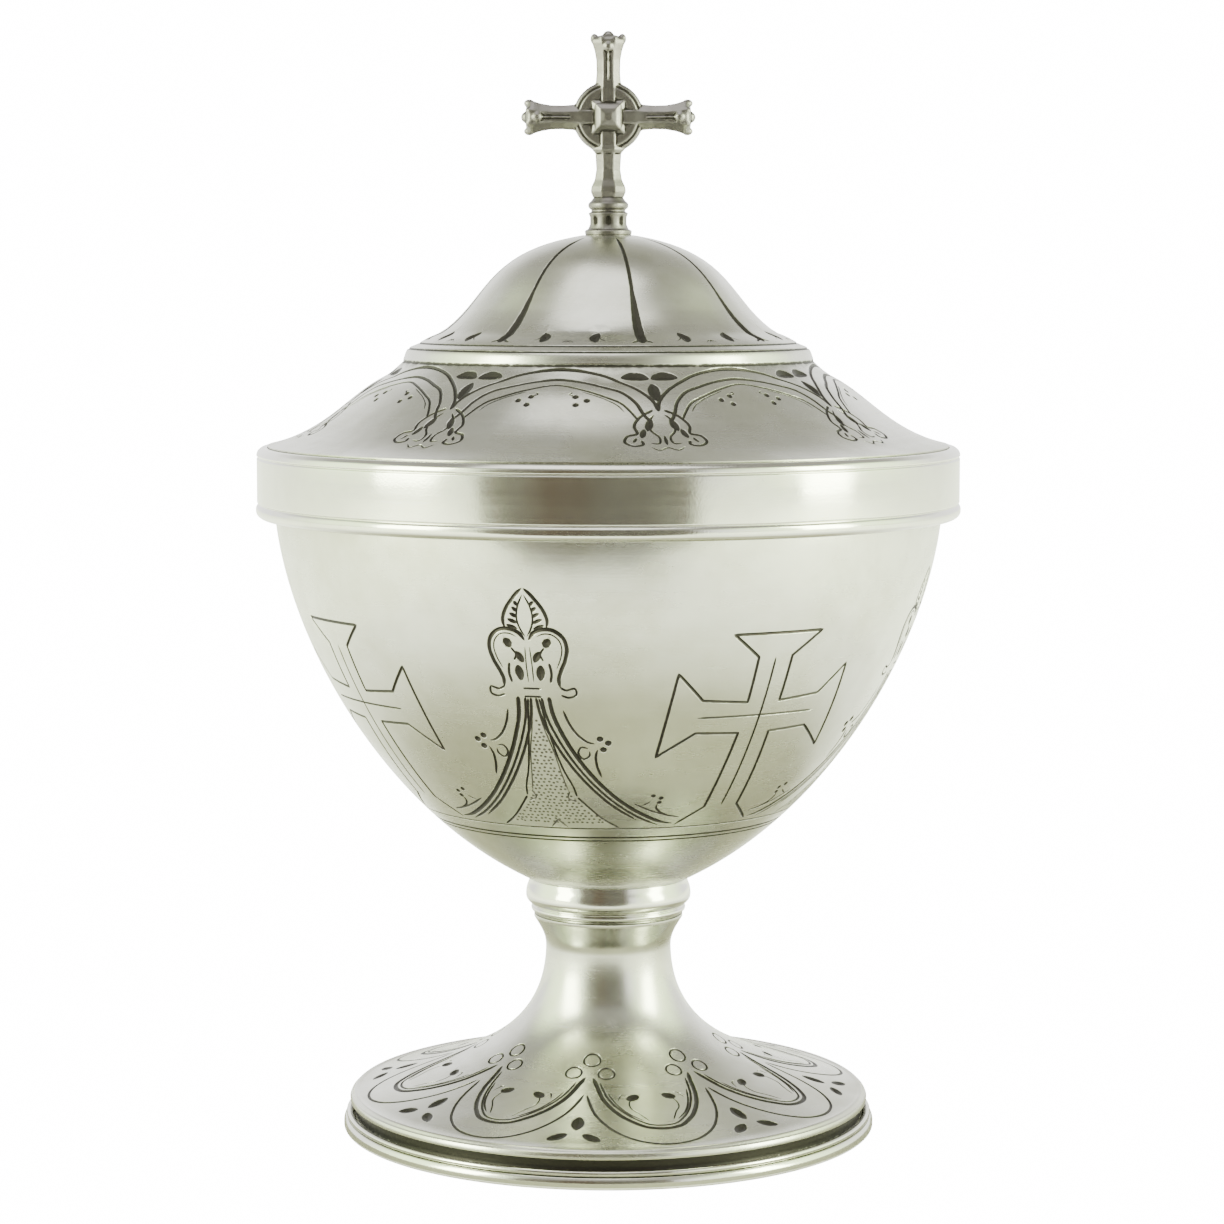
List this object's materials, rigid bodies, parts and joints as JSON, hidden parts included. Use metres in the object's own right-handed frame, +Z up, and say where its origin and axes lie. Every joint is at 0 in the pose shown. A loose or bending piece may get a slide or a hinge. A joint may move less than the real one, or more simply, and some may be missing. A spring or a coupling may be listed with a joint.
{
  "type": "ciborium vessel",
  "caption": "Covered church cup: round bowl on a trumpet foot, lift-off domed lid with a deep rim band and a cast cross finial.",
  "frame": {"origin": "centre of the foot, on the surface that it stands on", "axes": "+Z up along the axis of the cup; -Y is the front, which the flat face of the cross looks along; +X is to the right from the front"},
  "size_m": [0.115, 0.115, 0.18],
  "materials": {
    "engraved_silver": "spun silver, satin from handling, warm tarnish, dark in the engraved lines",
    "polished_silver": "plain polished silver with fine scratches",
    "cast_silver": "cast silver, darker in the hollows",
    "gilt": "gilded, polished",
    "brass_fixings": "turned brass, dull"
  },
  "bodies": {
    "base": {"foot_shell": "engraved_silver", "foot_rim_moulding": "polished_silver", "foot_rim_bead": "polished_silver", "collar_knop": "polished_silver", "bowl_shell": "engraved_silver", "bowl_gilt_liner": "gilt", "bowl_lip_ring": "gilt", "stem_stud": "brass_fixings", "stem_washer": "brass_fixings", "stem_nut": "brass_fixings"},
    "lid": {"lid_shell": "engraved_silver", "lid_rim_band": "polished_silver", "lid_seat_ring": "polished_silver", "finial_pedestal": "cast_silver", "finial_cross": "cast_silver", "finial_stud": "brass_fixings", "finial_washer": "brass_fixings", "finial_nut": "brass_fixings"}
  },
  "joints": [
    {"name": "lid_lift", "type": "slide", "parent": "base", "child": "lid", "axis": [0, 0, 1], "range_m": [0, 0.1]}
  ]
}
